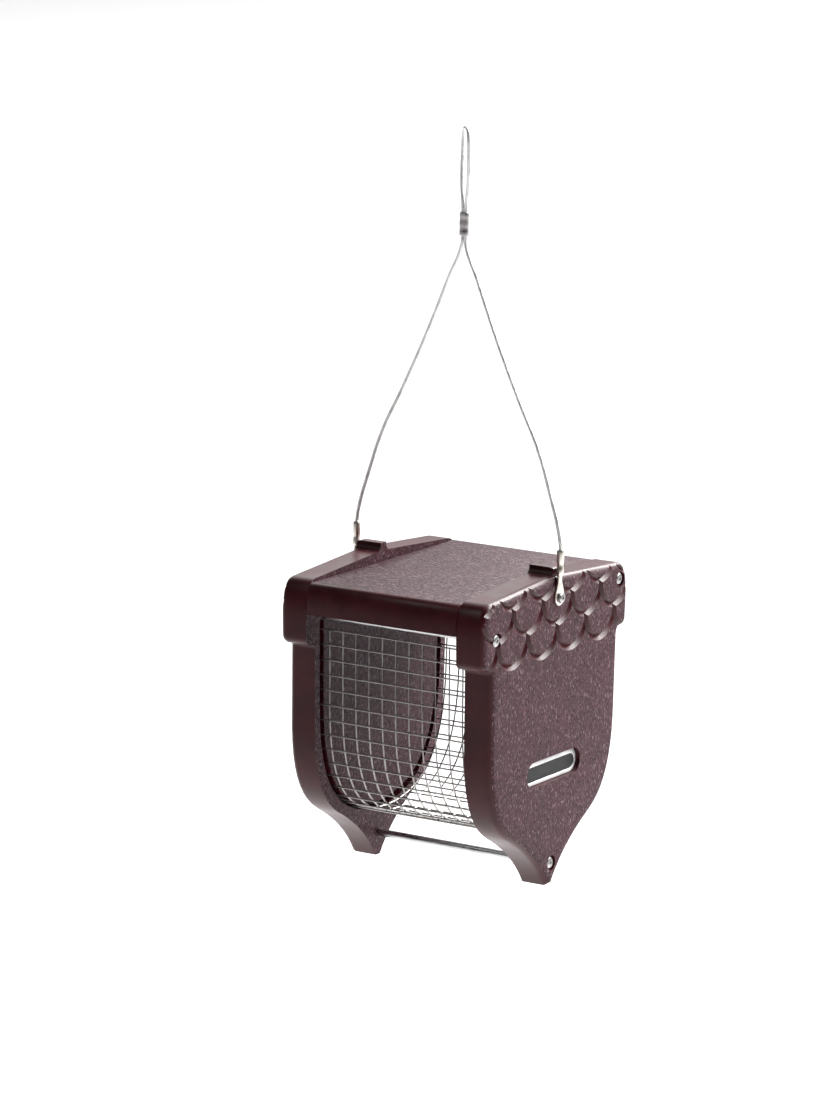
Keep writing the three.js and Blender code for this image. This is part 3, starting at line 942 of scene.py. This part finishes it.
def tongue(low_x, high_x):
    """The terminal's flat ring and neck, cut from sheet."""
    ring = [
        [(5, 184.5), (3.4, 188.2), (2.4, 190.5)],
        [(2.1, 193.0)],
        [(2.1, 196.6)],
        [(-2.1, 196.6)],
        [(-2.1, 193.0)],
        [(-2.4, 190.5)],
        [(-3.4, 188.2), (-5, 184.5), (-5, 181.5)],
        [(-5, 178.74), (-2.76, 176.5), (0, 176.5)],
        [(2.76, 176.5), (5, 178.74), (5, 181.5)],
    ]
    sheet = outline("tongue", (5, 181.5), ring, low_x, high_x - low_x, 10)
    cut(sheet, bored(TERMINAL_SCREW, 2.2 * MM, low_x - MM, high_x + MM))
    edit(sheet, "EDGE")
    choose_edges(sheet, lambda a, b: abs(a.x - b.x) < 1e-6)
    bpy.ops.mesh.bevel(offset=0.12 * MM, segments=2, affect="EDGES")
    leave()
    return sheet


def barrel(x):
    """The terminal's crimped barrel, flattened into the tongue at its foot."""
    profile = [
        (0, 195.6), (1.9, 195.6), (2.15, 196.1), (2.3, 197), (2.3, 199.6), (2.12, 200.3),
        (2.02, 201.6), (2.12, 202.9), (2.3, 203.6), (2.3, 209.4), (2.2, 210.4), (1.95, 211),
        (1.35, 211), (1.3, 208), (0, 208),
    ]
    tube = turned("barrel", profile)
    tube.location = (x, 0, FEET_Z)
    settle(tube)
    return tube


class FEEDER_OT_ring_terminals(bpy.types.Operator):
    """Stamp and crimp the two ring terminals that end the cable"""

    bl_idname = "feeder.ring_terminals"
    bl_label = "Ring Terminals"

    def execute(self, context):
        tin = (0.95, 0.89, 0.80)
        metal = finish_for("tinned_metal", lambda name: drawn_metal(name, tin, 0.32, "Z"))
        low_x = OUTER_X + CLEAR
        parts = [tongue(low_x, low_x + MM), barrel(BARREL_X)]
        right = joined("ring_terminal_right_crimped", parts)
        skin(right, metal)
        left = twin(right, "ring_terminal_left_crimped", mirrored=True)
        for side, piece in (("left", left), ("right", right)):
            fit(smooth(piece, 32), "hanger", "terminal", f"ring_terminal_{side}")
        return {"FINISHED"}


# ---- the cable -------------------------------------------------------------------------------

def cable_route():
    """The cable's route from the left terminal, over the hook and down to the right one."""
    right = []
    for distance, turn, height in LOOP_ROUTE:
        angle = math.radians(turn)
        across, deep = distance * math.cos(angle), distance * math.sin(angle)
        right.append(Vector((across, deep, height)) * MM)
    right += [Vector((out, 0, height)) * MM for out, height in LEG_ROUTE]
    left = [Vector((-p.x, -p.y, p.z)) for p in reversed(right)]
    return left + [Vector((0, 0, LOOP_TOP))] + right


def rope_section(radius):
    """The rope's cross-section, a ring of strands under a clear coat."""
    bpy.ops.object.select_all(action="DESELECT")
    bpy.ops.curve.primitive_bezier_circle_add(radius=radius, location=(0, 0, 0))
    section = named("rope_section")
    pick(section)
    bpy.ops.object.mode_set(mode="EDIT")
    bpy.ops.curve.select_all(action="SELECT")
    bpy.ops.curve.subdivide(number_cuts=5)
    bpy.ops.object.mode_set(mode="OBJECT")
    section.data.resolution_u = 1
    for i, point in enumerate(section.data.splines[0].bezier_points):
        point.handle_left_type = point.handle_right_type = "VECTOR"
        reach = (1.0, 0.97, 0.80, 0.97)[i % 4] * radius / point.co.length
        point.co = point.co * reach
    return section


def cable_tube(route, sizes):
    """The rope: its section swept along the route with the strands' twist, and its ring centres."""
    section = rope_section(sizes.cable_diameter / 2)
    bpy.ops.object.select_all(action="DESELECT")
    bpy.ops.curve.primitive_bezier_curve_add(location=(0, 0, 0))
    line = named("cable")
    spline = line.data.splines[0]
    spline.bezier_points.add(len(route) - 2)
    for point, place in zip(spline.bezier_points, route):
        point.co = place
        point.handle_left_type = point.handle_right_type = "AUTO"
    line.data.dimensions = "3D"
    line.data.twist_mode = "MINIMUM"
    line.data.resolution_u = 36
    pick(line)
    bpy.ops.object.duplicate(linked=False)
    bpy.ops.object.convert(target="MESH")
    centre_line = bpy.context.object
    ring_centres = [vert.co.copy() for vert in centre_line.data.vertices]
    bpy.data.objects.remove(centre_line)
    lengths = [0.0]
    for a, b in zip(ring_centres, ring_centres[1:]):
        lengths.append(lengths[-1] + (b - a).length)
    for i, point in enumerate(spline.bezier_points):
        point.tilt = math.tau * lengths[i * 36] / sizes.strand_lay
    line.data.bevel_mode = "OBJECT"
    line.data.bevel_object = section
    line.data.use_fill_caps = True
    pick(line)
    bpy.ops.object.convert(target="MESH")
    tube = close_up(bpy.context.object)
    bpy.data.objects.remove(section)
    return tube, ring_centres, lengths[-1]


def crimp(name):
    """The oval sleeve pressed over both legs of the cable, with its two press marks."""
    low, high = (Vector(corner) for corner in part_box("crimp_sleeve"))
    middle = (low + high) / 2
    tall = high.z - low.z
    bpy.ops.object.select_all(action="DESELECT")
    bpy.ops.mesh.primitive_cylinder_add(
        vertices=48, radius=1.95 * MM, depth=tall, location=(0, 0, 0)
    )
    sleeve = named(name)
    for vert in sleeve.data.vertices:
        vert.co.x += math.copysign(1.35 * MM, vert.co.x) if abs(vert.co.x) > 1e-6 else 0
    edit(sleeve, everything=True)
    for height in (-0.30, -0.20, -0.10, 0.10, 0.20, 0.30):
        bpy.ops.mesh.select_all(action="SELECT")
        bpy.ops.mesh.bisect(plane_co=(0, 0, height * tall), plane_no=(0, 0, 1), threshold=1e-7)
    bpy.ops.mesh.select_mode(type="VERT")
    for height in (-0.20, 0.20):
        bpy.ops.mesh.select_all(action="DESELECT")
        choose_points(sleeve, lambda place: abs(place.z - height * tall) < 1e-5)
        bpy.ops.transform.resize(value=(0.97, 0.86, 1))
    leave()
    edit(sleeve, "EDGE")
    choose_edges(sleeve, lambda a, b: min(abs(a.z), abs(b.z)) > tall / 2 - 1e-6)
    bpy.ops.mesh.bevel(offset=0.3 * MM, segments=3, affect="EDGES")
    leave()
    sleeve.rotation_euler.z = math.radians(SLEEVE_TURN)
    sleeve.location = middle
    return settle(sleeve)


class FEEDER_OT_cable(bpy.types.Operator):
    """Lay the coated wire rope from terminal to terminal and crimp its loop"""

    bl_idname = "feeder.cable"
    bl_label = "Hanging Cable"

    def execute(self, context):
        sizes = context.scene.feeder_sizes
        route = cable_route()
        cable, ring_centres, whole = cable_tube(route, sizes)
        pale, grey = (0.92, 0.92, 0.91), (0.72, 0.68, 0.68)
        rope = finish_for("coated_rope", lambda name: drawn_metal(name, pale, 0.42, "Z", 0.1, 1.0))
        fit(smooth(skin(cable, rope), 50), "hanger", "cable", "hanger_cable")
        metal = finish_for("pressed_sleeve", lambda name: drawn_metal(name, grey, 0.30, "Z"))
        sleeve = crimp("pressed_sleeve")
        fit(smooth(skin(sleeve, metal), 32), "hanger", "sleeve", "crimp_sleeve")
        return {"FINISHED"}


# ---- the stage -------------------------------------------------------------------------------

def softbox(name, place, towards, size, power):
    """A soft rectangular lamp at a place, turned to face a point."""
    bpy.ops.object.select_all(action="DESELECT")
    bpy.ops.object.light_add(type="AREA", location=place)
    lamp = bpy.context.object
    lamp.name = lamp.data.name = name
    lamp.data.shape = "RECTANGLE"
    lamp.data.size, lamp.data.size_y = size
    lamp.data.energy = power
    facing = Vector(towards) - Vector(place)
    lamp.rotation_euler = facing.to_track_quat("-Z", "Y").to_euler()


class FEEDER_OT_stage(bpy.types.Operator):
    """Set up the pale floor, the soft lamps and the camera"""

    bl_idname = "feeder.stage"
    bl_label = "Stage"

    def execute(self, context):
        view = context.scene.feeder_view
        scene = context.scene
        bpy.ops.object.select_all(action="DESELECT")
        bpy.ops.mesh.primitive_circle_add(
            vertices=96, radius=30, fill_type="NGON", location=(0, 0, view.floor_height)
        )
        floor = settle(named("floor"))
        paper = finish_for("floor_paper", lambda name: stage_finish(name, (0.92, 0.92, 0.92)))
        skin(floor, paper)

        world = scene.world or bpy.data.worlds.new("studio")
        scene.world = world
        world.use_nodes = True
        nodes, links = world.node_tree.nodes, world.node_tree.links
        way = nodes.new("ShaderNodeTexCoord")
        split = nodes.new("ShaderNodeSeparateXYZ")
        fade = nodes.new("ShaderNodeMapRange")
        fade.inputs["From Min"].default_value = -0.1
        fade.inputs["To Min"].default_value = view.front_light
        fade.inputs["To Max"].default_value = view.back_light
        links.new(way.outputs["Generated"], split.inputs["Vector"])
        links.new(split.outputs["Y"], fade.inputs["Value"])
        links.new(fade.outputs["Result"], nodes["Background"].inputs["Strength"])
        nodes["Background"].inputs["Color"].default_value = (1, 1, 1, 1)

        softbox("top_softbox", (0.3, 0.9, 3.4), (0, 0.2, -0.4), (3.0, 3.0), 30)
        softbox("back_softbox", (1.2, 1.9, 1.5), (0, 0, -0.3), (4.6, 0.9), 270)
        softbox("front_softbox", (-1.2, -2.5, 2.2), (0, 0, -0.35), (1.2, 1.2), 12)
        softbox("floor_light", (0, 10, 5), (0, 10, view.floor_height), (20, 16), 2000)
        scene.view_settings.view_transform = "Standard"

        bpy.ops.object.camera_add()
        camera = bpy.context.object
        camera.name = "camera"
        azimuth, elevation, roll = view.azimuth, view.elevation, view.roll
        back = Vector((
            math.sin(azimuth) * math.cos(elevation),
            -math.cos(azimuth) * math.cos(elevation),
            math.sin(elevation),
        ))
        level = Vector((math.cos(azimuth), math.sin(azimuth), 0))
        upward = back.cross(level)
        right = math.cos(roll) * level + math.sin(roll) * upward
        up = math.cos(roll) * upward - math.sin(roll) * level
        turn = Matrix((right, up, back)).transposed().to_4x4()
        camera.matrix_world = Matrix.Translation(Vector(view.aim) + view.distance * back) @ turn
        camera.data.lens = view.lens
        camera.data.sensor_width = 36
        camera.data.clip_end = 100
        scene.camera = camera
        return {"FINISHED"}


# ---- settings, panel and registration --------------------------------------------------------

def length(name, description, default, least=0.0, most=1.0):
    """A length setting, in metres."""
    return bpy.props.FloatProperty(
        name=name, description=description, default=default, min=least, max=most,
        precision=5, subtype="DISTANCE", unit="LENGTH",
    )


def colour(name, description, default):
    """A colour setting."""
    return bpy.props.FloatVectorProperty(
        name=name, description=description, default=default, size=3, min=0, max=1, subtype="COLOR"
    )


class FeederSizes(bpy.types.PropertyGroup):
    round_over: length("Round-over", "Radius of a side board's outer edge", 4.76 * MM)
    groove_width: length("Groove Width", "Width of the groove that holds the mesh", 4.4 * MM)
    groove_depth: length("Groove Depth", "Depth of the groove that holds the mesh", 5.5 * MM)
    scale_width: length("Scale Width", "Width of one carved scale", 35 * MM)
    vee_depth: length("Carving Depth", "Depth of the carved grooves", 2.2 * MM)
    plate_length: length("Plate Length", "Length of the name plate's pocket", 64 * MM)
    plate_height: length("Plate Height", "Height of the name plate's pocket", 16 * MM)
    plate_depth: length("Plate Depth", "Depth of the name plate's pocket", 4 * MM)
    plate_thickness: length("Plate Thickness", "Thickness of the name plate", 0.9 * MM)
    wire_diameter: length("Wire Diameter", "Thickness of the mesh's wires", 1.05 * MM)
    mesh_pitch: length("Mesh Pitch", "Distance between the mesh's wires", 9.525 * MM)
    cable_diameter: length("Cable Diameter", "Thickness of the coated rope", 2.4 * MM)
    strand_lay: length("Strand Lay", "Length in which the rope's strands go round once", 17 * MM)


class FeederFinishes(bpy.types.PropertyGroup):
    board_colour: colour("Board Colour", "The boards' pressed skin", (0.036, 0.0085, 0.0135))
    edge_colour: colour("Edge Colour", "The boards where they are cut", (0.046, 0.005, 0.008))


class FeederView(bpy.types.PropertyGroup):
    azimuth: bpy.props.FloatProperty(
        name="Azimuth", description="Camera's turn round the feeder", default=math.radians(31.64),
        subtype="ANGLE", unit="ROTATION",
    )
    elevation: bpy.props.FloatProperty(
        name="Elevation", description="Camera's angle above level", default=math.radians(11.65),
        subtype="ANGLE", unit="ROTATION",
    )
    roll: bpy.props.FloatProperty(
        name="Roll", description="Camera's tilt to one side", default=math.radians(1.15),
        subtype="ANGLE", unit="ROTATION",
    )
    distance: length("Distance", "Camera's distance from the point it looks at", 3.0927, 0.5, 20)
    aim: bpy.props.FloatVectorProperty(
        name="Aim", description="Point that the camera looks at",
        default=(-0.02975, 0.0049, -0.27056), size=3, subtype="TRANSLATION", unit="LENGTH",
    )
    lens: bpy.props.FloatProperty(
        name="Lens", description="Camera's focal length in millimetres", default=160.5,
        min=10, max=400,
    )
    floor_height: length("Floor Height", "Height of the floor under the feeder", -1.35, -10, 0)
    front_light: bpy.props.FloatProperty(
        name="Front Light", description="Strength of the room's light at the front",
        default=0.05, min=0,
    )
    back_light: bpy.props.FloatProperty(
        name="Back Light", description="Strength of the room's light at the back",
        default=0.64, min=0,
    )


STEPS = (
    "stage", "cable", "side_boards", "name_plate", "lid", "rods", "wire_mesh", "screws",
    "ring_terminals",
)


class FEEDER_PT_panel(bpy.types.Panel):
    """The feeder's steps and settings in the sidebar"""

    bl_idname = "FEEDER_PT_panel"
    bl_label = "Hanging Bird Feeder"
    bl_space_type = "VIEW_3D"
    bl_region_type = "UI"
    bl_category = "Feeder"

    def draw(self, context):
        layout = self.layout
        for step in STEPS:
            layout.operator(f"feeder.{step}")
        for group in (
            context.scene.feeder_sizes, context.scene.feeder_finishes, context.scene.feeder_view
        ):
            column = layout.column()
            for key in group.bl_rna.properties.keys():
                if key not in ("rna_type", "name"):
                    column.prop(group, key)


CLASSES = (
    FeederSizes, FeederFinishes, FeederView, FEEDER_OT_stage, FEEDER_OT_cable,
    FEEDER_OT_side_boards, FEEDER_OT_name_plate, FEEDER_OT_lid, FEEDER_OT_rods,
    FEEDER_OT_wire_mesh, FEEDER_OT_screws, FEEDER_OT_ring_terminals, FEEDER_PT_panel,
)


def register():
    for item in CLASSES:
        bpy.utils.register_class(item)
    bpy.types.Scene.feeder_sizes = bpy.props.PointerProperty(type=FeederSizes)
    bpy.types.Scene.feeder_finishes = bpy.props.PointerProperty(type=FeederFinishes)
    bpy.types.Scene.feeder_view = bpy.props.PointerProperty(type=FeederView)


def unregister():
    del bpy.types.Scene.feeder_view
    del bpy.types.Scene.feeder_finishes
    del bpy.types.Scene.feeder_sizes
    for item in reversed(CLASSES):
        bpy.utils.unregister_class(item)


def main():
    register()
    for step in STEPS:
        getattr(bpy.ops.feeder, step)()
    bpy.ops.object.select_all(action="DESELECT")


if __name__ == "__main__":
    main()
